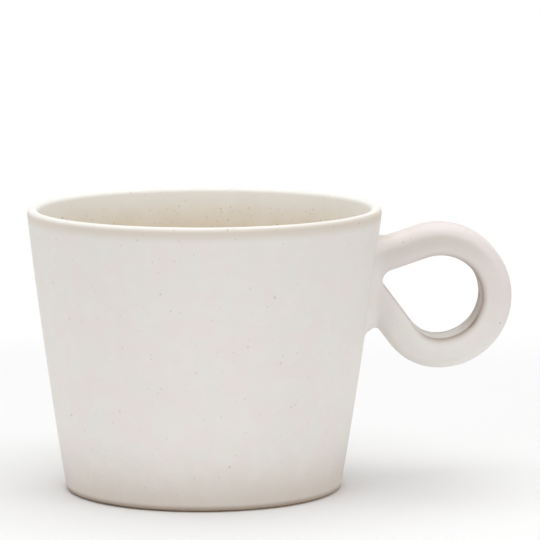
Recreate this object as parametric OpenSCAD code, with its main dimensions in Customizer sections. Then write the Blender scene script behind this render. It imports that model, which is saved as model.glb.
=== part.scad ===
// Stoneware cappuccino cup: a thrown body, a strap bent into a teardrop loop for its handle,
// the slip that lutes the handle to the wall, and the glaze coats over all of them.
// The origin is on the cup's axis at the foot plane, +Z is up and +X points to the handle.

/* [Cup] */
// Height of the glazed cup from the foot plane to the crest of the lip
cup_h = 71.7; // [62:0.1:85]
// Glazed diameter of the wall where it reaches the height of the lip
rim_d = 90; // [82:0.5:104]
// Glazed diameter of the wall carried down to the foot plane
foot_d = 70; // [60:0.5:78]
// Outward bow of the wall half way up
wall_bow = 0.4; // [0:0.1:1.5]
// Thickness of the clay at the lip, which is fully rounded
lip_t = 2.1; // [1.6:0.1:3.2]
// Radius of the corner between the floor and the wall inside
well_round = 9; // [5:0.5:14]
// Horizontal thickness of the clay where the inner corner's curve is widest
wall_t = 3.6; // [2.8:0.1:5]
// Thickness of the clay floor over the recess in the foot
floor_t = 4.2; // [3:0.1:6]

/* [Foot] */
// Radius of the foot's outer edge
foot_round = 1.4; // [0.8:0.1:2.4]
// Width of the ring that the cup stands on
foot_w = 5; // [3:0.5:9]
// Depth of the recess inside the ring
foot_recess = 1.2; // [0.6:0.1:2.5]
// Outward lean of the recess's side, in degrees from upright
recess_draft = 20; // [5:1:40]

/* [Glaze] */
// Thickness of the fired glaze
glaze_t = 0.35; // [0.2:0.05:0.6]
// Height of the bare clay between the foot plane and the glaze's edge
bare_h = 0.5; // [0.2:0.05:0.7]
// How far the outside glaze laps over the lip and down the inside
lap = 3; // [1:0.5:8]

/* [Handle] */
// Thickness of the clay strap in the plane of the loop
strap_t = 6.9; // [5:0.1:9]
// Width of the clay strap across the loop
strap_w = 13.3; // [9:0.1:18]
// Radius of the strap's two long edges on the outside of the loop
outer_round = 2.1; // [1:0.1:3.2]
// Radius of the strap's two long edges inside the loop
inner_round = 0.8; // [0.4:0.1:2]
// Height from the centre of the loop's narrow end up to the lip's crest
grip_drop = 18.6; // [16:0.1:24]
// Slip and clay between the cup's clay wall and the loop's narrow end
web_t = 2.3; // [1.8:0.1:5]
// Radius inside the loop's narrow end
tip_r = 3.2; // [2:0.1:4.5]
// Radius inside the loop's round end
crown_r = 11; // [9:0.1:14]
// Length of the straight upper run from the narrow end to the round end
upper_run = 9.7; // [6:0.1:13]
// Rise of the upper run away from the cup, in degrees
upper_rise = 19; // [10:1:28]
// Fall of the lower run away from the cup, in degrees
lower_fall = 53; // [44:1:58]
// Direction from the centre of the round end at which its curve tightens, in degrees from +X
low_turn = 268; // [255:1:280]

/* [Handle seat] */
// How far the slip's edge lies inside the outline of the handle's foot
slip_inset = 3; // [2.5:0.1:5]
// Distance from the wall over which the handle swells towards its foot
flare_run = 4.4; // [2.5:0.1:6]
// Swell of the handle's foot at each flank
flare_side = 2.8; // [1:0.1:4]
// Swell of the handle's foot at its top
flare_top = 2.4; // [0.5:0.1:3.5]
// Swell of the handle's foot at its underside
flare_under = 5.8; // [3:0.1:7]

/* [Hidden] */
$fn = 96;

// Steps along the bowed wall, round the lip and along another rounded edge of the cup
wall_steps = 12;
lip_steps = 20;
edge_steps = 10;
// Steps along a rounded edge of the strap, along the loop's three bends and its two runs
section_steps = 4;
tip_steps = 9;
low_steps = 5;
crown_steps = 26;
lower_steps = 10;
upper_steps = 8;

clay_color = [0.67, 0.57, 0.47];
slip_color = [0.72, 0.63, 0.53];
glaze_color = [0.87, 0.855, 0.83];
lining_color = [0.85, 0.81, 0.75];

// The clay wall: radius, slope and points at a distance off its face
clay_rim_r = rim_d / 2 - glaze_t;
clay_foot_r = foot_d / 2 - glaze_t;
wall_gain = clay_rim_r - clay_foot_r;
function wall_r(z) = let (s = z / cup_h) clay_foot_r + wall_gain * s + 4 * wall_bow * s * (1 - s);
function wall_tilt(z) = atan((wall_gain + 4 * wall_bow * (1 - 2 * z / cup_h)) / cup_h);
function wall_point(z, off) = [wall_r(z) + off * cos(wall_tilt(z)), z - off * sin(wall_tilt(z))];

// Round edges at the two ends of the wall
lip_r = lip_t / 2;
lip_tilt = wall_tilt(cup_h - glaze_t - lip_r);
lip_z = cup_h - glaze_t - lip_r * (1 + sin(lip_tilt));
lip_centre = wall_point(lip_z, -lip_r);
foot_tilt = wall_tilt(0);
foot_z = foot_round * (1 - sin(foot_tilt));
foot_centre = [wall_point(foot_z, -foot_round).x, foot_round];
bare_angle = asin((bare_h - foot_centre.y) / foot_round);

// The inside: a corner curve above the floor and a straight taper from it to the lip
floor_z = foot_recess + floor_t;
well_centre = [wall_r(floor_z + well_round) - wall_t - well_round, floor_z + well_round];
well_lean = lip_centre - well_centre;
lining_tilt = atan(well_lean.x / well_lean.y) - asin((well_round + lip_r) / norm(well_lean));

function arc(c, r, a, b, n) = [for (i = [0:n]) let (t = a + (b - a) * i / n) c + r * [cos(t), sin(t)]];
function wall_line(off) = [
    for (i = [0:wall_steps]) wall_point(foot_z + (lip_z - foot_z) * i / wall_steps, off)
];
function reverse(list) = [for (i = [len(list) - 1:-1:0]) list[i]];

// Profiles of the outside and the inside at a distance off the clay. They meet below the lip, inside.
lap_angle = 180 - lining_tilt;
function lap_point(off) = lip_centre + (lip_r + off) * [cos(lap_angle), sin(lap_angle)]
    - lap * [sin(lining_tilt), cos(lining_tilt)];
function outside(off) = concat(
    arc(foot_centre, foot_round + off, bare_angle, -foot_tilt, edge_steps),
    wall_line(off),
    arc(lip_centre, lip_r + off, -lip_tilt, lap_angle, lip_steps),
    [lap_point(off)]);
function inside(off) = concat(
    [lap_point(off)],
    arc(well_centre, well_round - off, -lining_tilt, -90, edge_steps),
    [[0, floor_z + off]]);

// The ring that the cup stands on
recess_r = foot_centre.x - foot_w;
recess_top_r = recess_r - foot_recess * tan(recess_draft);
function underside() = concat(
    [[0, foot_recess], [recess_top_r, foot_recess], [recess_r, 0]],
    arc(foot_centre, foot_round, -90, bare_angle, edge_steps));

module wall_solid(off) {
    skin = wall_line(off);
    rotate_extrude()
    polygon(concat([[0, skin[0].y]], skin, [[0, skin[wall_steps].y]]));
}

// The loop's inner curve: two straight runs between the narrow end, the round end and a tighter
// curve below it, all tangent to each other
tip_z = cup_h - grip_drop;
tip = [wall_r(tip_z) + web_t + tip_r, tip_z];
upper_angle = 90 + upper_rise;
lower_angle = 270 - lower_fall;
upper_way = [cos(upper_rise), sin(upper_rise)];
lower_way = [cos(lower_fall), -sin(lower_fall)];
lower_side = [cos(lower_angle), sin(lower_angle)];
crown = tip + upper_run * upper_way + (crown_r - tip_r) * [upper_way.y, -upper_way.x];
low_way = [cos(low_turn), sin(low_turn)];
low_pull = low_way * lower_side;
low_r = (tip_r - (crown - tip) * lower_side - crown_r * low_pull) / (1 - low_pull);
low = crown + (crown_r - low_r) * low_way;
lower_run = (low - tip) * lower_way;

// Cross-section of the strap: how far out from the loop's inner curve, and how far across
function strap_section(grow) = let (
    hi = [strap_t - outer_round, strap_w / 2 - outer_round],
    lo = [inner_round, strap_w / 2 - inner_round])
    concat(
        arc(hi, outer_round + grow, 0, 90, section_steps),
        arc(lo, inner_round + grow, 90, 180, section_steps),
        arc([lo.x, -lo.y], inner_round + grow, 180, 270, section_steps),
        arc([hi.x, -hi.y], outer_round + grow, 270, 360, section_steps));

// Places along the loop's inner curve: centre, radius and direction of each
function bend(c, r, from, to, n) = [for (i = [0:n - 1]) [c, r, from + (to - from) * i / n]];
function run(from, to, r, angle, n) = [for (i = [0:n - 1]) [from + (to - from) * i / n, r, angle]];
upper_end = tip + upper_run * upper_way;
lower_end = tip + lower_run * lower_way;
stations = concat(
    bend(tip, tip_r, upper_angle, lower_angle, tip_steps),
    run(tip, lower_end, tip_r, lower_angle, lower_steps),
    bend(low, low_r, lower_angle, low_turn, low_steps),
    bend(crown, crown_r, low_turn, 360 + upper_angle, crown_steps),
    run(upper_end, tip, tip_r, upper_angle, upper_steps));

// Swell of the strap towards the wall, strongest at the wall and on the strap's outer faces
function limit(v) = max(0, min(1, v));
function wall_gap(p) = p.x - sqrt(pow(wall_r(p.z), 2) - pow(p.y, 2));
function swell(p) = pow(1 - limit(wall_gap(p) / flare_run), 2);
function outer_share(p) = limit((abs(p.z - tip.y) - tip_r) / strap_t);
function swollen(p) = [
    p.x,
    p.y * (1 + 2 * flare_side / strap_w * swell(p)),
    p.z + swell(p) * outer_share(p) * (p.z > tip.y ? flare_top : -flare_under)
];
function strap_ring(s, grow) = [
    for (q = strap_section(grow))
    swollen([s[0].x + (s[1] + q.x) * cos(s[2]), q.y, s[0].y + (s[1] + q.x) * sin(s[2])])
];

// A closed tube through rings of points, the last ring joined to the first
module ring_tube(rings) {
    n = len(rings[0]);
    m = len(rings);
    points = [for (ring = rings) each ring];
    faces = [
        for (j = [0:m - 1], i = [0:n - 1])
        let (e = (i + 1) % n, k = (j + 1) % m)
        each [[j * n + i, k * n + e, j * n + e], [j * n + i, k * n + i, k * n + e]]
    ];
    polyhedron(points, faces);
}

module strap(grow) {
    ring_tube([for (s = stations) strap_ring(s, grow)]);
}

// The handle's seat on the wall: heights at which the strap's faces come to it, and the outline of the
// slip under its foot, which fills a window in the wall's glaze and so is as thick as the glaze
strap_out = tip_r + strap_t;
function upper_face(x) = tip.y + strap_out / cos(upper_rise) + (x - tip.x) * tan(upper_rise);
function lower_face(x) = tip.y - strap_out / cos(lower_fall) - (x - tip.x) * tan(lower_fall);
slip_t = glaze_t;
slip_top = upper_face(wall_r(upper_face(wall_r(tip.y)))) + flare_top - slip_inset;
slip_low = lower_face(wall_r(lower_face(wall_r(tip.y)))) - flare_under + slip_inset;
slip_half = strap_w / 2 + flare_side - slip_inset;
slip_round = outer_round + flare_side - slip_inset / 2;

module slip_outline() {
    translate([slip_round - slip_half, slip_low])
    square([2 * (slip_half - slip_round), slip_top - slip_low]);
    translate([-slip_half, slip_low + slip_round])
    square([2 * slip_half, slip_top - slip_low - 2 * slip_round]);
    for (y = [slip_round - slip_half, slip_half - slip_round])
    for (z = [slip_low + slip_round, slip_top - slip_round])
    translate([y, z])
    circle(slip_round);
}

module slip_window() {
    rotate([90, 0, 90])
    linear_extrude(rim_d)
    slip_outline();
}

module cup_body() {
    color(clay_color)
    rotate_extrude()
    polygon(concat(underside(), outside(0), inside(0)));
}

module handle() {
    color(clay_color)
    difference() {
        strap(0);
        wall_solid(slip_t);
    }
}

module luting_slip() {
    color(slip_color)
    intersection() {
        difference() {
            wall_solid(slip_t);
            wall_solid(0);
        }
        slip_window();
    }
}

module wall_glaze() {
    color(glaze_color)
    difference() {
        rotate_extrude()
        polygon(concat(outside(glaze_t), reverse(outside(0))));
        slip_window();
    }
}

module lining_glaze() {
    color(lining_color)
    rotate_extrude()
    polygon(concat(inside(glaze_t), reverse(inside(0))));
}

module handle_glaze() {
    color(glaze_color)
    difference() {
        strap(glaze_t);
        strap(0);
        wall_solid(slip_t);
    }
}

cup_body();
handle();
luting_slip();
wall_glaze();
lining_glaze();
handle_glaze();
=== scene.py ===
"""Looks of a stoneware cappuccino cup: its glaze coats, its handle and a plain studio."""

import logging
import math
from dataclasses import dataclass, field
from enum import Enum
from typing import Any, Optional, Union

import bmesh
import bpy
from mathutils import Matrix, Vector, noise


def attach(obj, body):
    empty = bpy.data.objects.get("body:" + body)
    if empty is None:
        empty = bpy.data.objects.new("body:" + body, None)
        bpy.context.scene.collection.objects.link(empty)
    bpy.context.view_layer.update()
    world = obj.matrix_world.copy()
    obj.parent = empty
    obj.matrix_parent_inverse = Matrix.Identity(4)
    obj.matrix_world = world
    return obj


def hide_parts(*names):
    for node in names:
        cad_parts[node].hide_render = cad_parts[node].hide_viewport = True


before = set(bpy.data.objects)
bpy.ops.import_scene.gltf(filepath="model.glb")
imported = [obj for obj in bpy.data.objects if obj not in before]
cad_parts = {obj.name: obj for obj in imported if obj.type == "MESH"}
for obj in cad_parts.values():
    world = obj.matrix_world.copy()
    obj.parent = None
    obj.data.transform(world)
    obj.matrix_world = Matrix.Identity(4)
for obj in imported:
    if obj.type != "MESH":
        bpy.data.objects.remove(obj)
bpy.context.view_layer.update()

MM = 0.001
LOG = logging.getLogger("cup")
Colour = tuple[float, float, float]
Place = tuple[float, float, float]
Limits = tuple[float, float]
Feed = Union["Value", float, tuple]


def tone(red: int, green: int, blue: int) -> Colour:
    """Turn a display colour into the linear colour that a shader takes.

    Args:
        red: Red, from 0 to 255.
        green: Green, from 0 to 255.
        blue: Blue, from 0 to 255.

    Returns:
        The linear colour.
    """
    def channel(level: int) -> float:
        """One channel in linear light."""
        share = level / 255
        return share / 12.92 if share <= 0.04045 else ((share + 0.055) / 1.055) ** 2.4

    return channel(red), channel(green), channel(blue)


def polar(degrees: float) -> Vector:
    """A step of length 1 in the XZ plane, at an angle from +X towards +Z."""
    return Vector((math.cos(math.radians(degrees)), 0, math.sin(math.radians(degrees))))


def held(value: float) -> float:
    """A value, held to 0 to 1."""
    return max(0.0, min(1.0, value))


class Side(Enum):
    """The part of the cup that a coat of glaze covers."""

    WALL = "wall"
    LINING = "lining"
    HANDLE = "handle"


# Sizes of the cup


@dataclass(frozen=True)
class CupForm:
    """Sizes that the pieces of the cup share, in millimetres. Radii and faces are the glaze's own.

    The lean is a shift along X, as a share of the height. The unevenness starts at a distance from the axis,
    and its rate is how fast it changes along a face.
    """

    height: float = 71.7
    rim_r: float = 45.0
    foot_r: float = 35.0
    bow: float = 0.4
    glaze: float = 0.35
    lip_r: float = 1.4
    foot_round: float = 1.75
    bare_h: float = 0.5
    lap: float = 3.0
    floor_z: float = 5.75
    well_r: float = 8.65
    well_x: float = 24.3
    lean_share: float = 0.007
    uneven: float = 0.05
    uneven_rate: float = 0.045
    uneven_from: float = 1.0

    def belly(self, share: float) -> float:
        """How far the wall bows out at a share of its height."""
        return 4 * self.bow * share * (1 - share)

    def radius(self, z: float) -> float:
        """Radius of the glazed wall at a height."""
        share = z / self.height
        return self.foot_r + (self.rim_r - self.foot_r) * share + self.belly(share)

    def tilt(self, z: float) -> float:
        """Angle of the wall from upright at a height, in degrees."""
        gain = self.rim_r - self.foot_r + 4 * self.bow * (1 - 2 * z / self.height)
        return math.degrees(math.atan(gain / self.height))

    def inward(self, z: float, depth: float) -> Vector:
        """A point of the wall's section, at a depth square to its face."""
        slope = math.radians(self.tilt(z))
        return Vector((self.radius(z) - depth * math.cos(slope), 0, z + depth * math.sin(slope)))

    @property
    def foot_centre(self) -> Vector:
        """Centre of the round edge at the foot.

        Returns:
            The centre.
        """
        clay = self.foot_round - self.glaze
        spot = self.inward(clay * (1 - math.sin(math.radians(self.tilt(0)))), self.foot_round)
        return Vector((spot.x, 0, clay))

    @property
    def lip_centre(self) -> Vector:
        """Centre of the round lip.

        Returns:
            The centre.
        """
        slope = math.sin(math.radians(self.tilt(self.height - self.lip_r)))
        spot = self.inward(self.height - self.lip_r * (1 + slope), self.lip_r)
        return Vector((spot.x, 0, self.height - self.lip_r))

    @property
    def well_centre(self) -> Vector:
        """Centre of the corner between the floor and the wall inside."""
        return Vector((self.well_x, 0, self.floor_z + self.well_r))

    @property
    def lining_tilt(self) -> float:
        """Angle of the inside's straight taper from upright.

        Returns:
            The angle, in degrees.
        """
        way = self.lip_centre - self.well_centre
        cross = math.asin((self.well_r + self.lip_r) / way.length)
        return math.degrees(math.atan(way.x / way.z) - cross)

    def taper(self, depth: float) -> Vector:
        """A point on the inside's taper, at a distance below the lip's curve."""
        edge = self.lip_centre + self.lip_r * polar(180 - self.lining_tilt)
        return edge - depth * polar(90 - self.lining_tilt)

    def settle(self, bm: bmesh.types.BMesh) -> None:
        """Give a mesh the slight unevenness and lean of a thrown cup, and turn millimetres into metres.

        Args:
            bm: A finished mesh.
        """
        for v in bm.verts:
            out = Vector((v.co.x, v.co.y, 0))
            if out.length > self.uneven_from:
                v.co += out.normalized() * self.uneven * noise.noise(v.co * self.uneven_rate)
            v.co.x += self.lean_share * (v.co.z - self.height / 2)
        bmesh.ops.scale(bm, vec=(MM, MM, MM), verts=bm.verts)


# Shader values


class Value:
    """A node's output that can stand in sums, which add Math nodes."""

    def __init__(self, net: "Net", socket: Optional[bpy.types.NodeSocket]) -> None:
        """Keep the node tree and the socket."""
        self.net = net
        self.socket = socket

    def _sum(self, operation: str, first: Feed, second: Feed) -> "Value":
        """Add one Math node."""
        return self.net.add("ShaderNodeMath", {"operation": operation}, {0: first, 1: second})

    def __add__(self, other: Feed) -> "Value":
        """self + other."""
        return self._sum("ADD", self, other)

    def __radd__(self, other: Feed) -> "Value":
        """other + self."""
        return self._sum("ADD", other, self)

    def __sub__(self, other: Feed) -> "Value":
        """self - other."""
        return self._sum("SUBTRACT", self, other)

    def __rsub__(self, other: Feed) -> "Value":
        """other - self."""
        return self._sum("SUBTRACT", other, self)

    def __mul__(self, other: Feed) -> "Value":
        """self * other."""
        return self._sum("MULTIPLY", self, other)

    def __rmul__(self, other: Feed) -> "Value":
        """other * self."""
        return self._sum("MULTIPLY", other, self)

    def __truediv__(self, other: Feed) -> "Value":
        """self / other."""
        return self._sum("DIVIDE", self, other)

    def __rtruediv__(self, other: Feed) -> "Value":
        """other / self."""
        return self._sum("DIVIDE", other, self)

    def most(self, other: Feed) -> "Value":
        """The larger of self and other."""
        return self._sum("MAXIMUM", self, other)

    def above(self, other: Feed) -> "Value":
        """1 where self is over other, else 0."""
        return self._sum("GREATER_THAN", self, other)

    def centred(self) -> "Value":
        """A value from 0 to 1, moved to lie evenly about 0."""
        return self - 0.5

    def ease(self, low: float, high: float) -> "Value":
        """Rise smoothly from 0 to 1 as this value goes from one limit to the other.

        Args:
            low: Value at which the result is 0.
            high: Value at which the result is 1.

        Returns:
            The eased value, held to 0 to 1.
        """
        turned = low > high
        inputs = {
            "Value": self, "From Min": min(low, high), "From Max": max(low, high),
            "To Min": float(turned), "To Max": float(not turned)}
        return self.net.add("ShaderNodeMapRange", {"interpolation_type": "SMOOTHSTEP"}, inputs)

    def band(self, limits: Limits) -> "Value":
        """Ease a length in metres between two limits in millimetres."""
        return self.ease(limits[0] * MM, limits[1] * MM)


@dataclass(frozen=True)
class Cloud:
    """Soft noise in a finish: the size of its features in millimetres, its finer octaves and its place.

    Between the limits, where it has them, the noise goes from 0 to 1. The shift is in metres.
    """

    size: float
    detail: float
    shift: Place = (0.0, 0.0, 0.0)
    limits: Optional[Limits] = None


@dataclass(frozen=True)
class Fleck:
    """One kind of round speck. Pitch and radius are in millimetres, and the shift is in metres.

    A share of the places, a pitch apart, hold a speck. Its radius goes from the least share up to the whole,
    and the blur share of it is a soft edge. The depth is how strongly its colour covers.
    """

    colour: Colour
    pitch: float
    radius: float
    share: float
    depth: float
    shift: Place = (0.0, 0.0, 0.0)
    least_share: float = 0.45
    blur_share: float = 0.7


@dataclass(frozen=True)
class Skin:
    """How a surface takes light: the height of its bumps in millimetres, their strength, and its gloss."""

    bump_height: float
    bump_strength: float
    gloss: float


class Net:
    """The node tree of one material, or of the world."""

    def __init__(self, tree: bpy.types.NodeTree) -> None:
        """Start an empty tree."""
        tree.nodes.clear()
        self.tree = tree

    def add(
        self, kind: str, settings: Optional[dict[str, Any]] = None, inputs: Optional[dict[Any, Feed]] = None,
        output: Union[int, str] = 0,
    ) -> Value:
        """Add a node.

        Args:
            kind: Blender's name for the node's type.
            settings: Properties that are set first.
            inputs: Values or links by the socket's name or number.
            output: Name or number of the output that is handed back.

        Returns:
            The node's output, without a socket where the node has none.
        """
        node = self.tree.nodes.new(kind)
        for name, setting in (settings or {}).items():
            setattr(node, name, setting)
        for key, feed in (inputs or {}).items():
            socket = node.inputs[key]
            if isinstance(feed, Value):
                self.tree.links.new(feed.socket, socket)
            elif socket.type == "RGBA" and len(feed) == 3:
                socket.default_value = (*feed, 1.0)
            else:
                socket.default_value = feed
        return Value(self, node.outputs[output] if len(node.outputs) else None)

    def place(self) -> Value:
        """Object coordinates, in metres."""
        return self.add("ShaderNodeTexCoord", output="Object")

    def part(self, place: Value, axis: str) -> Value:
        """One part of a vector: X, Y or Z."""
        return self.add("ShaderNodeSeparateXYZ", None, {0: place}, axis)

    def length(self, place: Value) -> Value:
        """A vector's length."""
        return self.add("ShaderNodeVectorMath", {"operation": "LENGTH"}, {0: place}, "Value")

    def moved(self, place: Value, shift: Place) -> Value:
        """Coordinates shifted by a fixed distance."""
        return self.add("ShaderNodeMapping", {"vector_type": "POINT"}, {"Vector": place, "Location": shift})

    def attribute(self, name: str) -> Value:
        """A value that the piece's mesh carries at its points."""
        return self.add("ShaderNodeAttribute", {"attribute_name": name}, None, "Fac")

    def channel(self, colour: Value, name: str) -> Value:
        """One channel of a colour: Red, Green or Blue."""
        return self.add("ShaderNodeSeparateColor", None, {0: colour}, name)

    def direct(self) -> Value:
        """1 on the camera's rays and on those that metal or glass sends on, else 0.

        Returns:
            The value.
        """
        rays = ("Camera", "Glossy", "Transmission")
        camera, glossy, clear = (self.add("ShaderNodeLightPath", output=f"Is {ray} Ray") for ray in rays)
        return camera.most(glossy).most(clear)

    def mix(self, share: Feed, first: Feed, second: Feed) -> Value:
        """Mix two colours.

        Args:
            share: 0 for the first colour, 1 for the second.
            first: A colour or a link.
            second: A colour or a link.

        Returns:
            The mixed colour.
        """
        # The node's colours go into its sockets 6 and 7, and come out of its output 2.
        return self.add("ShaderNodeMix", {"data_type": "RGBA"}, {0: share, 6: first, 7: second}, 2)

    def cloud(self, place: Value, cloud: Cloud) -> Value:
        """Soft noise.

        Args:
            place: Coordinates in metres.
            cloud: The noise's kind.

        Returns:
            The noise from 0 to 1, or from about 0.25 to 0.75 where it has no limits.
        """
        where = self.moved(place, cloud.shift)
        inputs = {"Vector": where, "Scale": 1 / (cloud.size * MM), "Detail": cloud.detail}
        level = self.add("ShaderNodeTexNoise", None, inputs)
        return level.ease(*cloud.limits) if cloud.limits else level

    def specks(self, place: Value, fleck: Fleck, spread: float = 1.0, share: float = 1.0) -> Value:
        """Round specks that are scattered through a finish.

        Args:
            place: Coordinates in metres.
            fleck: The specks' kind.
            spread: Factor on their pitch.
            share: Factor on the share of places that hold one.

        Returns:
            1 in a speck, 0 outside, with a soft edge.
        """
        pitch = fleck.pitch * spread
        where = {"Vector": self.moved(place, fleck.shift), "Scale": 1 / (pitch * MM)}
        gap = self.add("ShaderNodeTexVoronoi", None, where, "Distance")
        chance = self.add("ShaderNodeTexVoronoi", None, where, "Color")
        size = fleck.least_share + (1 - fleck.least_share) * self.channel(chance, "Green")
        round_spot = (1 - gap / (size * (fleck.radius / pitch))).ease(0.0, fleck.blur_share)
        return round_spot * self.channel(chance, "Red").above(1 - fleck.share * share)

    def finish(self, colour: Value, rough: Value, relief: Value, skin: Skin) -> None:
        """Join a Principled shader to the material's output.

        Args:
            colour: The base colour.
            rough: The roughness.
            relief: The bumps, as a share of their height.
            skin: How the surface takes light.
        """
        bumps = {"Strength": skin.bump_strength, "Distance": skin.bump_height * MM, "Height": relief}
        normal = self.add("ShaderNodeBump", None, bumps)
        inputs = {"Base Color": colour, "Roughness": rough, "Normal": normal}
        surface = self.add("ShaderNodeBsdfPrincipled", None, {**inputs, "Specular IOR Level": skin.gloss})
        self.add("ShaderNodeOutputMaterial", None, {"Surface": surface})


def new_paint(name: str) -> tuple[bpy.types.Material, Net]:
    """Start a material.

    Args:
        name: The material's name.

    Returns:
        The material and its empty node tree.
    """
    paint = bpy.data.materials.new(name)
    paint.use_nodes = True
    return paint, Net(paint.node_tree)


# Finishes


@dataclass(frozen=True)
class Ground:
    """What a glaze reads at a point: its place and height over the foot plane in metres, and three noises."""

    net: Net
    place: Value
    height: Value
    drift: Value
    patch: Value
    grain: Value


@dataclass(frozen=True)
class SpeckledGlaze:
    """A matt off-white glaze with fine brown specks, which turns cream inside.

    Lengths are in millimetres. Limits go from where a change starts to where it is complete.
    """

    side: Side
    body: Colour = tone(236, 233, 227)
    blush: Colour = tone(239, 230, 227)
    cloudy: Colour = tone(238, 237, 232)
    # A paler tone: a painted highlight on the crest and painted light just inside the mouth; in the lining it
    # also gives paler patches.
    pale_and_lit: Colour = tone(242, 240, 235)
    lining: Colour = tone(231, 220, 202)
    # Brown of the glaze's thin edges, deepened here and there as painted shade, at the foot and at the hole
    # in the handle.
    edge: Colour = tone(140, 116, 94)
    blush_share: float = 0.7
    cloudy_share: float = 0.45
    pale_cloudy_share: float = 0.3
    lining_pale_share: float = 0.25
    # Heights over which the painted light inside the mouth gives way to the lining's colour.
    fade: Limits = (70.5, 60.0)
    fade_drift: float = 1.0
    drift: Cloud = Cloud(7.0, 3.0, (0.4, 0.1, 0.7), (0.38, 0.64))
    patch: Cloud = Cloud(4.5, 4.0, (1.3, 0.8, 0.2), (0.42, 0.7))
    grain: Cloud = Cloud(0.7, 2.0)
    wave: Cloud = Cloud(4.0, 2.0, (0.9, 0.6, 0.4))
    dust: Fleck = Fleck(tone(158, 142, 128), 1.2, 0.22, 1.0, 0.7, (0.2, 0.5, 0.9))
    dots: Fleck = Fleck(tone(120, 86, 60), 1.9, 0.33, 1.0, 1.0)
    blots: Fleck = Fleck(tone(120, 86, 60), 4.2, 0.52, 0.6, 1.2, (0.7, 0.3, 0.1))
    speck_share: float = 0.8
    speck_depth: float = 0.2
    speck_spread: float = 1.0
    roughness: float = 0.58
    patch_rough: float = 0.08
    grain_rough: float = 0.12
    pit_rough: float = 0.15
    wave_relief: float = 0.5
    grain_relief: float = 0.16
    pit_relief: float = 0.35
    skin: Skin = Skin(bump_height=0.06, bump_strength=0.35, gloss=0.2)

    def outside(self, at: Ground) -> Value:
        """Colour of the plain outside, a little uneven."""
        colour = at.net.mix(at.drift * self.blush_share, self.body, self.blush)
        return at.net.mix(at.patch * self.cloudy_share, colour, self.cloudy)

    def inside(self, at: Ground) -> Value:
        """Colour of the inside, paler towards the lip as painted light: a painted highlight on the crest and
        painted light just inside the mouth.

        Args:
            at: What the glaze reads.

        Returns:
            The colour.
        """
        # Painted light: paler towards the lip, with a painted highlight on the crest.
        deep = (at.height + at.drift.centred() * (self.fade_drift * MM)).band(self.fade)
        lip = at.net.mix(at.patch * self.pale_cloudy_share, self.pale_and_lit, self.cloudy)
        well = at.net.mix(at.patch * self.lining_pale_share, self.lining, self.pale_and_lit)
        return at.net.mix(deep, lip, well)

    def tint(self, at: Ground) -> Value:
        """Colour of the glaze on its side of the cup, before the specks."""
        raise NotImplementedError

    def material(self) -> bpy.types.Material:
        """Make the material.

        Returns:
            The material, on Object coordinates.
        """
        paint, net = new_paint(f"{self.side.value}_glaze")
        place = net.place()
        noises = [net.cloud(place, cloud) for cloud in (self.drift, self.patch, self.grain)]
        at = Ground(net, place, net.part(place, "Z"), *noises)
        colour = self.tint(at)
        spots = []
        for fleck in (self.dust, self.dots, self.blots):
            spot = net.specks(place, fleck, self.speck_spread, self.speck_share)
            colour = net.mix(spot * (fleck.depth * self.speck_depth), colour, fleck.colour)
            spots.append(spot)
        _, dots, blots = spots
        pits = dots.most(blots)
        wave = net.cloud(place, self.wave)
        relief = wave * self.wave_relief + at.grain * self.grain_relief - pits * self.pit_relief
        uneven = at.patch.centred() * self.patch_rough + at.grain.centred() * self.grain_rough
        net.finish(colour, self.roughness + uneven + pits * self.pit_rough, relief, self.skin)
        return paint


@dataclass(frozen=True)
class WallGlaze(SpeckledGlaze):
    """The glaze outside: cream under the lip, darker and browner near the foot as painted shade, and as
    inside past the crest.

    The crest's limits are depths in from a cone, which stands out a little from the foot and the rim.
    """

    side: Side = Side.WALL
    cream: Colour = tone(225, 215, 203)
    # Painted shade near the floor: a warm brown that darkens the wall towards the foot.
    foot_shade: Colour = tone(193, 178, 163)
    rim: Limits = (67.5, 70.6)
    # Heights from where the painted shade at the foot starts to where it is full.
    foot: Limits = (20.0, 0.3)
    foot_drift: float = 0.8
    foot_shade_share: float = 0.15
    foot_shade_gain_share: float = 0.35
    # A brown band over the glaze's lowest millimetres: partly the glaze thinning over the bare foot, partly
    # painted contact shade.
    bare: Limits = (2.0, 0.4)
    bare_share: float = 0.7
    form: CupForm = CupForm()
    cone_out: float = 0.2
    crest: Limits = (0.2, 1.1)

    def tint(self, at: Ground) -> Value:
        """Colour of the wall and the lip.

        Args:
            at: What the glaze reads.

        Returns:
            The colour.
        """
        net = at.net
        colour = net.mix(at.height.band(self.rim), self.outside(at), self.cream)
        # Painted shade: darker and browner towards the foot.
        low = (at.height + at.patch.centred() * (self.foot_drift * MM)).band(self.foot)
        colour = net.mix(low * (self.foot_shade_share + self.foot_shade_gain_share * low), colour, self.foot_shade)
        # Brown band at the glaze's lower edge: partly thin glaze, partly painted contact shade.
        colour = net.mix(at.height.band(self.bare) * self.bare_share, colour, self.edge)
        flat = net.add("ShaderNodeVectorMath", {"operation": "MULTIPLY"}, {0: at.place, 1: (1.0, 1.0, 0.0)})
        slope = (self.form.rim_r - self.form.foot_r) / self.form.height
        depth = (self.form.foot_r + self.cone_out) * MM + at.height * slope - net.length(flat)
        # Past the crest the lap takes the inside's colour, and with it the painted highlight on the crest.
        return net.mix(depth.band(self.crest), colour, self.inside(at))


@dataclass(frozen=True)
class LiningGlaze(SpeckledGlaze):
    """The glaze inside, with closer and darker specks."""

    side: Side = Side.LINING
    speck_share: float = 0.9
    speck_depth: float = 0.3
    speck_spread: float = 0.72

    def tint(self, at: Ground) -> Value:
        """Colour of the lining."""
        return self.inside(at)


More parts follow.
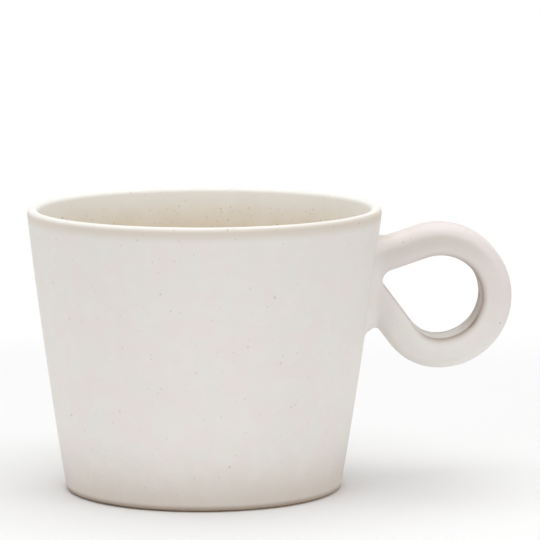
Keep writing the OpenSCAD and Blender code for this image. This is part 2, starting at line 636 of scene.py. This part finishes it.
@dataclass(frozen=True)
class StrapGlaze(SpeckledGlaze):
    """The glaze on the handle: rosy above, painted shade on the upper front faces, a brown glaze break at the
    hole's edge deepened by painted shade, and painted shade on the inner face at the round end.

    A reach is a length along X. The front and face limits are shares of the strap's thickness, from inside.
    """

    side: Side = Side.HANDLE
    rosy: Colour = tone(233, 224, 220)
    # Painted shade on the strap's front faces, darker higher up.
    upper_shade: Colour = tone(217, 210, 202)
    rosy_reach: Limits = (42.0, 47.0)
    rosy_height: Limits = (38.0, 52.0)
    rosy_share: float = 0.85
    front: Limits = (0.05, 0.5)
    front_end: Limits = (0.6, 0.78)
    front_end_share: float = 0.9
    # Heights over which the painted shade on the front faces grows.
    upper_shade_height: Limits = (54.0, 66.0)
    upper_shade_share: float = 0.12
    upper_shade_gain_share: float = 0.75
    # Painted shade on the inner face at the round end of the loop.
    face: Limits = (0.06, 0.0)
    inner_shade_reach: Limits = (63.0, 71.0)
    inner_shade_share: float = 0.6
    # Places that hold the brown edge at the hole and the painted shade there.
    edge_and_shade_reach: Limits = (50.0, 60.0)
    edge_and_shade_height: Limits = (63.0, 56.0)
    edge_and_shade_share: float = 0.72
    edge_and_shade_patch_share: float = 0.25
    speck_share: float = 0.9

    def tint(self, at: Ground) -> Value:
        """Colour of the strap.

        Args:
            at: What the glaze reads.

        Returns:
            The colour.
        """
        net = at.net
        reach = net.part(at.place, "X")
        out = net.attribute("outward")
        rosy = reach.band(self.rosy_reach) * at.height.band(self.rosy_height) * self.rosy_share
        colour = net.mix(rosy, self.outside(at), self.rosy)
        # Painted shade on the front faces, stronger higher up.
        front = out.ease(*self.front) * (1 - self.front_end_share * out.ease(*self.front_end))
        upper_shade = self.upper_shade_share + self.upper_shade_gain_share * at.height.band(self.upper_shade_height)
        colour = net.mix(front * upper_shade, colour, self.upper_shade)
        # Painted shade on the inner face at the loop's round end.
        face = out.ease(*self.face) * reach.band(self.inner_shade_reach) * self.inner_shade_share
        # The brown glaze break at the hole's edge, deepened by painted shade, together with the painted shade
        # on the inner face.
        edge_and_shade = net.attribute("hole_edge_and_shade").most(face)
        edge_and_shade = edge_and_shade * reach.band(self.edge_and_shade_reach) * at.height.band(self.edge_and_shade_height)
        return net.mix(edge_and_shade * (self.edge_and_shade_share + self.edge_and_shade_patch_share * at.patch), colour, self.edge)


@dataclass(frozen=True)
class FiredClay:
    """Bare fired stoneware: grainy, matt and brown, with darker and paler grit."""

    name: str
    body: Colour
    shade: Colour
    patch: Cloud = Cloud(9.0, 4.0, limits=(0.35, 0.7))
    grain: Cloud = Cloud(0.5, 3.0, (0.5, 0.2, 0.3))
    grit: Fleck = Fleck(tone(92, 70, 52), 1.1, 0.2, 0.4, 0.6)
    sand: Fleck = Fleck(tone(205, 186, 160), 1.7, 0.24, 0.35, 0.5, (0.3, 0.9, 0.6))
    grain_limits: Limits = (0.45, 0.75)
    grain_share: float = 0.25
    roughness: float = 0.82
    grain_rough: float = 0.2
    grain_relief: float = 0.6
    grit_relief: float = 0.3
    sand_relief: float = 0.2
    skin: Skin = Skin(bump_height=0.08, bump_strength=0.5, gloss=0.25)

    def material(self) -> bpy.types.Material:
        """Make the material.

        Returns:
            The material, on Object coordinates.
        """
        paint, net = new_paint(self.name)
        place = net.place()
        grain = net.cloud(place, self.grain)
        grit = net.specks(place, self.grit)
        sand = net.specks(place, self.sand)
        colour = net.mix(net.cloud(place, self.patch), self.body, self.shade)
        colour = net.mix(grain.ease(*self.grain_limits) * self.grain_share, colour, self.shade)
        colour = net.mix(grit * self.grit.depth, colour, self.grit.colour)
        colour = net.mix(sand * self.sand.depth, colour, self.sand.colour)
        relief = grain * self.grain_relief + grit * self.grit_relief - sand * self.sand_relief
        rough = self.roughness + grain.centred() * self.grain_rough
        net.finish(colour, rough, relief, self.skin)
        return paint


@dataclass(frozen=True)
class PaleFloor:
    """A white paper floor that keeps the shadow and runs out into plain white.

    Limits are distances from the cup's axis, in millimetres.
    """

    paper: Colour = (0.9, 0.9, 0.9)
    dim: Colour = (0.45, 0.45, 0.45)
    white: Limits = (90.0, 280.0)
    dimmed: Limits = (120.0, 500.0)
    fibre: Cloud = Cloud(1.2, 3.0)
    fibre_share: float = 0.005

    def material(self) -> bpy.types.Material:
        """Make the material.

        Returns:
            The material, on Object coordinates.
        """
        paint, net = new_paint("floor_paper")
        place = net.place()
        away = net.length(place)
        colour = net.mix(away.band(self.dimmed), self.paper, self.dim)
        shade = net.add("ShaderNodeBsdfDiffuse", None, {"Color": colour})
        glow = net.add("ShaderNodeEmission", None, {"Color": (1.0, 1.0, 1.0), "Strength": 1.0})
        even = 1 - self.fibre_share + self.fibre_share * net.cloud(place, self.fibre)
        white = away.band(self.white) * net.direct() * even
        mixed = net.add("ShaderNodeMixShader", None, {0: white, 1: shade, 2: glow})
        net.add("ShaderNodeOutputMaterial", None, {"Surface": mixed})
        return paint


# Modelling


class Pen:
    """Draws with spins: a point leaves a line behind it, and an outline leaves a tube."""

    def __init__(self, bm: bmesh.types.BMesh, geom: list) -> None:
        """Keep the mesh and the geometry that is drawn with."""
        self.bm = bm
        self.end = list(geom)

    def run(self, way: Vector, steps: int) -> None:
        """Go straight.

        Args:
            way: The whole move.
            steps: Number of equal steps.
        """
        made = bmesh.ops.spin(
            self.bm, geom=self.end, cent=(0, 0, 0), axis=(0, 1, 0), dvec=way / steps, angle=0.0, steps=steps)
        self.end = made["geom_last"]

    def bend(self, centre: Vector, degrees: float, steps: int) -> None:
        """Go round a centre in the XZ plane.

        Args:
            centre: Centre of the bend.
            degrees: Angle from +X towards +Z.
            steps: Number of equal steps.
        """
        made = bmesh.ops.spin(
            self.bm, geom=self.end, cent=centre, axis=(0, -1, 0), angle=math.radians(degrees), steps=steps)
        self.end = made["geom_last"]


def piece(name: str, bm: bmesh.types.BMesh, sharp: float) -> bpy.types.Object:
    """Turn a mesh into a smooth piece that rides on the cup.

    Args:
        name: The piece's name.
        bm: Its mesh, in place and in metres.
        sharp: Angle over which an edge stays sharp, in degrees.

    Returns:
        The piece.
    """
    for f in bm.faces:
        f.smooth = True
    for e in bm.edges:
        e.smooth = len(e.link_faces) != 2 or e.calc_face_angle() < math.radians(sharp)
    mesh = bpy.data.meshes.new(name)
    bm.to_mesh(mesh)
    bm.free()
    made = bpy.data.objects.new(name, mesh)
    bpy.context.scene.collection.objects.link(made)
    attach(made, "root")
    return made


@dataclass
class RoundCoat:
    """A coat of glaze round the cup: a line that is spun about the axis and given its thickness.

    The weld is the distance in millimetres within which points are merged, and sharp is in degrees.
    """

    name: str
    node: str
    slot: str
    form: CupForm
    finish: SpeckledGlaze
    steps: int = 160
    weld: float = 0.001
    sharp: float = 40.0
    made: Optional[bpy.types.Object] = None

    def draw(self, bm: bmesh.types.BMesh) -> None:
        """Draw the coat's line in the XZ plane."""
        raise NotImplementedError

    def build(self) -> list[bpy.types.Object]:
        """Spin the line into a closed shell.

        Returns:
            The piece.
        """
        bm = bmesh.new()
        self.draw(bm)
        bmesh.ops.remove_doubles(bm, verts=bm.verts, dist=self.weld)
        bmesh.ops.spin(
            bm, geom=bm.verts[:] + bm.edges[:], cent=(0, 0, 0), axis=(0, 0, 1), angle=math.tau,
            steps=self.steps, use_merge=True)
        bmesh.ops.remove_doubles(bm, verts=bm.verts, dist=self.weld)
        bmesh.ops.recalc_face_normals(bm, faces=bm.faces)
        bm.normal_update()
        self.face(bm)
        bmesh.ops.solidify(bm, geom=bm.faces[:], thickness=self.form.glaze)
        self.form.settle(bm)
        self.made = piece(self.name, bm, self.sharp)
        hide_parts(self.node)
        return [self.made]

    def face(self, bm: bmesh.types.BMesh) -> None:
        """Turn the faces so that the coat's own face looks away from the clay.

        Args:
            bm: The coat's mesh, before it has its thickness.
        """
        middle = max(bm.faces, key=lambda f: f.calc_area())
        centre = middle.calc_center_median()
        outwards = Vector((centre.x, centre.y, 0)).dot(middle.normal) > 0
        if outwards != (self.finish.side is Side.WALL):
            bmesh.ops.reverse_faces(bm, faces=bm.faces)

    def dress(self) -> None:
        """Give the coat its finish."""
        self.made.data.materials.append(self.finish.material())


@dataclass
class WallCoat(RoundCoat):
    """The outside coat, from just above the foot, up the wall, over the lip and a little way down inside."""

    foot_steps: int = 10
    wall_steps: int = 40
    lip_steps: int = 24
    lap_steps: int = 3

    def draw(self, bm: bmesh.types.BMesh) -> None:
        """Draw the coat's line from the foot to its lap inside the lip.

        Args:
            bm: An empty mesh.
        """
        form = self.form
        foot, lip = form.foot_centre, form.lip_centre
        bare = math.degrees(math.asin((form.bare_h - foot.z) / form.foot_round))
        low, high = -form.tilt(0), -form.tilt(form.height)
        pen = Pen(bm, [bm.verts.new(foot + form.foot_round * polar(bare))])
        pen.bend(foot, low - bare, self.foot_steps)
        begin = pen.end[0].co.copy()
        finish = lip + form.lip_r * polar(high)
        pen.run(finish - begin, self.wall_steps)
        for v in bm.verts:
            share = (v.co.z - begin.z) / (finish.z - begin.z)
            if 0 < share < 1 and v.co.x > begin.x:
                v.co.x += form.belly(share)
        pen.bend(lip, 180 - form.lining_tilt - high, self.lip_steps)
        pen.run(form.taper(form.lap) - form.taper(0), self.lap_steps)


@dataclass
class LiningCoat(RoundCoat):
    """The inside coat, from below the lip down the wall and over the floor."""

    wall_steps: int = 24
    corner_steps: int = 14
    floor_steps: int = 10

    def draw(self, bm: bmesh.types.BMesh) -> None:
        """Draw the coat's line from its upper edge to the middle of the floor.

        Args:
            bm: An empty mesh.
        """
        form = self.form
        start = form.taper(form.lap)
        corner = form.well_centre + form.well_r * polar(-form.lining_tilt)
        pen = Pen(bm, [bm.verts.new(start)])
        pen.run(corner - start, self.wall_steps)
        pen.bend(form.well_centre, form.lining_tilt - 90, self.corner_steps)
        pen.run(Vector((-form.well_centre.x, 0, 0)), self.floor_steps)


@dataclass
class Handle:
    """The strap of the handle with its glaze: one outline swept round the loop and pressed to the wall.

    Sizes are in millimetres and degrees. The foot swells over the cove at its sides and over the rise run
    above and below. The halo is the width of the brown edge and its painted shade, and the weld is as for a
    round coat.
    """

    form: CupForm
    finish: SpeckledGlaze
    name: str = "handle_coat"
    thick: float = 7.6
    wide: float = 14.0
    outer_edge: float = 2.6
    inner_edge: float = 1.15
    outer_segments: int = 6
    inner_segments: int = 4
    across_cuts: int = 13
    along_cuts: int = 8
    front_swell_share: float = 0.06
    halo: float = 2.4
    halo_power: int = 3
    tip: Vector = field(default_factory=lambda: Vector((47.86, 0, 53.1)))
    tip_r: float = 2.85
    crown_r: float = 10.65
    upper_run: float = 9.7
    upper_rise: float = 19.0
    lower_fall: float = 53.0
    low_turn: float = 268.0
    tip_steps: int = 30
    lower_steps: int = 18
    low_steps: int = 9
    crown_steps: int = 36
    upper_steps: int = 14
    cove: float = 3.0
    side_swell: float = 3.0
    behind_swell_share: float = 0.3
    rise_run: float = 3.8
    rise_power: float = 2.3
    top_swell: float = 1.0
    under_swell: float = 6.3
    tuck: float = 0.9
    feather: float = 1.2
    sink_share: float = 0.12
    sink: float = 0.5
    weld: float = 0.01
    sharp: float = 180.0
    soft_levels: int = 1
    made: Optional[bpy.types.Object] = None

    def section(self, bm: bmesh.types.BMesh) -> None:
        """Make the strap's rounded outline flat at the origin, with +X out of the loop.

        Args:
            bm: An empty mesh.
        """
        bmesh.ops.create_grid(bm, x_segments=1, y_segments=1, size=0.5)
        bmesh.ops.scale(bm, vec=(self.thick, self.wide, 1), verts=bm.verts)
        edges = ((True, self.outer_edge, self.outer_segments), (False, self.inner_edge, self.inner_segments))
        for outer, radius, segments in edges:
            corners = [v for v in bm.verts if (v.co.x > 0) == outer]
            bmesh.ops.bevel(
                bm, geom=corners, offset=radius, segments=segments,
                profile=0.5, affect="VERTICES", material=-1)
        across = [e for e in bm.edges if abs(e.verts[0].co.y - e.verts[1].co.y) > self.wide / 2]
        along = [e for e in bm.edges if abs(e.verts[0].co.x - e.verts[1].co.x) > self.thick / 4]
        bmesh.ops.subdivide_edges(bm, edges=across, cuts=self.across_cuts)
        bmesh.ops.subdivide_edges(bm, edges=along, cuts=self.along_cuts)
        bmesh.ops.delete(bm, geom=bm.faces[:], context="FACES_ONLY")

    def mark(self, bm: bmesh.types.BMesh) -> None:
        """Note how deep each point of the outline lies in the brown edge and its painted shade, and how far
        out it is, and swell the front faces.

        Args:
            bm: The outline, at the origin.
        """
        # The brown glaze break at the hole's edge and the painted shade beside it, on the front faces and on
        # the inner face.
        hole_edge_layer = bm.verts.layers.float.new("hole_edge_and_shade")
        outward = bm.verts.layers.float.new("outward")
        for v in bm.verts:
            lift = v.co.x + self.thick / 2
            away = max(lift, self.wide / 2 - self.inner_edge - abs(v.co.y))
            v[hole_edge_layer] = max(0.0, 1 - away / self.halo) ** self.halo_power
            v[outward] = lift / self.thick
            v.co.y *= 1 - self.front_swell_share * (2 * v.co.x / self.thick) ** 2

    def outline(self, bm: bmesh.types.BMesh) -> list:
        """Make the strap's outline where the upper run meets the narrow end.

        Args:
            bm: An empty mesh.

        Returns:
            The outline's points and edges.
        """
        self.section(bm)
        self.mark(bm)
        turn = 90 + self.upper_rise
        seat = self.tip + polar(turn) * (self.tip_r + self.thick / 2)
        place = Matrix.Translation(seat) @ Matrix.Rotation(-math.radians(turn), 4, "Y")
        bmesh.ops.transform(bm, matrix=place, verts=bm.verts)
        return bm.verts[:] + bm.edges[:]

    def sweep(self, bm: bmesh.types.BMesh) -> None:
        """Draw the loop: narrow end, lower run, two bends of the round end, and the upper run back.

        Args:
            bm: An empty mesh.
        """
        up, down = polar(self.upper_rise), polar(-self.lower_fall)
        lower = 270 - self.lower_fall
        side, way = polar(lower), polar(self.low_turn)
        crown = self.tip + self.upper_run * up + (self.crown_r - self.tip_r) * Vector((up.z, 0, -up.x))
        pull = way.dot(side)
        low_r = (self.tip_r - (crown - self.tip).dot(side) - self.crown_r * pull) / (1 - pull)
        low = crown + (self.crown_r - low_r) * way
        pen = Pen(bm, self.outline(bm))
        pen.bend(self.tip, lower - 90 - self.upper_rise, self.tip_steps)
        pen.run(down * (low - self.tip).dot(down), self.lower_steps)
        pen.bend(low, self.low_turn - lower, self.low_steps)
        pen.bend(crown, 450 + self.upper_rise - self.low_turn, self.crown_steps)
        pen.run(-self.upper_run * up, self.upper_steps)
        bmesh.ops.remove_doubles(bm, verts=bm.verts, dist=self.weld)

    def gap(self, spot: Vector) -> float:
        """Distance of a point from the glazed wall, along X."""
        return spot.x - math.sqrt(self.form.radius(spot.z) ** 2 - spot.y ** 2)

    def press(self, bm: bmesh.types.BMesh) -> None:
        """Swell the strap's foot in a hollow curve towards the wall, and feather out what lies behind it.

        Args:
            bm: The swept loop.
        """
        bm.normal_update()
        flanks = [v.normal.y ** 2 for v in bm.verts]
        for v, flank in zip(bm.verts, flanks):
            gap = self.gap(v.co)
            share = held(gap / self.cove)
            turn = math.pi / 2 * share
            behind = held(-gap / self.feather)
            near = max(0.0, 1 - max(gap, -self.tuck) / self.rise_run) ** self.rise_power
            outer = held((abs(v.co.z - self.tip.z) - self.tip_r) / self.thick)
            rest = gap + flank * (self.cove * (1 - math.cos(turn)) - gap) if 0 < share < 1 else gap
            swell = self.side_swell * (1 - math.sin(turn) + self.behind_swell_share * behind)
            v.co.y *= 1 + 2 * swell / self.wide
            v.co.z += near * outer * (self.top_swell if v.co.z > self.tip.z else -self.under_swell)
            if rest < 0:
                rest = max(rest * self.sink_share, -self.sink)
            v.co.x += rest - self.gap(v.co)

    def build(self) -> list[bpy.types.Object]:
        """Model the strap.

        Returns:
            The piece.
        """
        bm = bmesh.new()
        self.sweep(bm)
        bmesh.ops.recalc_face_normals(bm, faces=bm.faces)
        self.press(bm)
        bmesh.ops.recalc_face_normals(bm, faces=bm.faces)
        self.form.settle(bm)
        self.made = piece(self.name, bm, self.sharp)
        soft = self.made.modifiers.new("soft", "SUBSURF")
        soft.levels = soft.render_levels = self.soft_levels
        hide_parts("handle_glaze", "handle")
        return [self.made]

    def dress(self) -> None:
        """Give the strap its finish."""
        self.made.data.materials.append(self.finish.material())


@dataclass
class BareClay:
    """The solids of clay and slip, which keep their shape and get a better finish."""

    nodes: tuple[str, ...] = ("cup_body", "luting_slip")
    clay: FiredClay = FiredClay("bare_stoneware", tone(206, 182, 152), tone(188, 161, 130))
    slip: FiredClay = FiredClay("fired_slip", tone(196, 178, 156), tone(182, 162, 138))

    def build(self) -> list[bpy.types.Object]:
        """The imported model's own objects, which stay."""
        return [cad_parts[name] for name in self.nodes]

    def dress(self) -> None:
        """Give the body bare stoneware and the joint fired slip."""
        for name, finish in zip(self.nodes, (self.clay, self.slip)):
            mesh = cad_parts[name].data
            mesh.materials.clear()
            mesh.materials.append(finish.material())


# Studio


@dataclass(frozen=True)
class Softbox:
    """A large square lamp. Lengths are in metres, and its power is in watts."""

    name: str
    spot: Place
    size: float
    power: float
    aim: Place = (0.01, 0.0, 0.04)

    def build(self) -> None:
        """Hang the lamp and turn it to the cup."""
        lamp = bpy.data.lights.new(self.name, "AREA")
        lamp.shape, lamp.size, lamp.energy = "SQUARE", self.size, self.power
        box = bpy.data.objects.new(self.name, lamp)
        box.location = self.spot
        box.rotation_euler = (Vector(self.aim) - Vector(self.spot)).to_track_quat("-Z", "Y").to_euler()
        bpy.context.scene.collection.objects.link(box)


@dataclass
class Studio:
    """Floor, light and camera. Lengths are in metres, but lens and sensor are in millimetres."""

    eye: Vector = field(default_factory=lambda: Vector((-0.019335, -0.92304, 0.18030)))
    aim: Vector = field(default_factory=lambda: Vector((0.016768, -0.000351, 0.055437)))
    roll: float = -0.0021
    lens: float = 244.9
    sensor: float = 36.0
    nearest: float = 0.05
    farthest: float = 20.0
    floor_r: float = 4.0
    floor_sides: int = 96
    floor_gap: float = 0.00002
    sky: float = 0.35
    lamps: tuple[Softbox, ...] = (
        Softbox("top_softbox", (0.0, 0.04, 1.1), 1.4, 12.0),
        Softbox("left_softbox", (-1.02, -0.82, 0.26), 0.8, 4.0),
        Softbox("right_softbox", (1.02, -0.82, 0.26), 0.8, 4.0),
    )

    def floor(self) -> None:
        """Lay the floor just under the foot."""
        bm = bmesh.new()
        bmesh.ops.create_circle(bm, cap_ends=True, radius=self.floor_r, segments=self.floor_sides)
        bmesh.ops.translate(bm, vec=(0, 0, -self.floor_gap), verts=bm.verts)
        mesh = bpy.data.meshes.new("floor")
        bm.to_mesh(mesh)
        bm.free()
        mesh.materials.append(PaleFloor().material())
        made = bpy.data.objects.new("floor", mesh)
        bpy.context.scene.collection.objects.link(made)

    def light(self) -> None:
        """Set an even surround, which is seen as white, and hang the lamps."""
        world = bpy.data.worlds.new("studio")
        bpy.context.scene.world = world
        world.use_nodes = True
        net = Net(world.node_tree)
        level = self.sky + (1 - self.sky) * net.direct()
        glow = net.add("ShaderNodeBackground", None, {"Color": (1.0, 1.0, 1.0), "Strength": level})
        net.add("ShaderNodeOutputWorld", None, {"Surface": glow})
        for lamp in self.lamps:
            lamp.build()

    def camera(self) -> None:
        """Set the camera at the photograph's viewing angle."""
        ahead = (self.aim - self.eye).normalized()
        right = ahead.cross(Vector((0, 0, 1))).normalized()
        up = right.cross(ahead)
        across = math.cos(self.roll) * right + math.sin(self.roll) * up
        upright = across.cross(ahead)
        lens = bpy.data.cameras.new("camera")
        lens.sensor_width, lens.lens = self.sensor, self.lens
        lens.clip_start, lens.clip_end = self.nearest, self.farthest
        made = bpy.data.objects.new("camera", lens)
        turn = Matrix((across, upright, -ahead)).transposed().to_4x4()
        made.matrix_world = Matrix.Translation(self.eye) @ turn
        bpy.context.scene.collection.objects.link(made)
        bpy.context.scene.camera = made

    def build(self) -> None:
        """Set up floor, light, camera and view."""
        self.floor()
        self.light()
        self.camera()
        bpy.context.scene.view_settings.view_transform = "Standard"


# The cup


def main() -> None:
    """Build the cup's pieces in order, dress them and set the studio."""
    logging.basicConfig(level=logging.INFO, format="%(name)s: %(message)s")
    form = CupForm()
    assemblies = (
        BareClay(),
        WallCoat("wall_coat", "wall_glaze", "glaze", form, WallGlaze(form=form)),
        LiningCoat("lining_coat", "lining_glaze", "lining", form, LiningGlaze()),
        Handle(form, StrapGlaze()),
    )
    for assembly in assemblies:
        pieces = assembly.build()
        assembly.dress()
        for made in pieces:
            LOG.info("%s: %d faces", made.name, len(made.data.polygons))
    Studio().build()


if __name__ == "__main__":
    main()
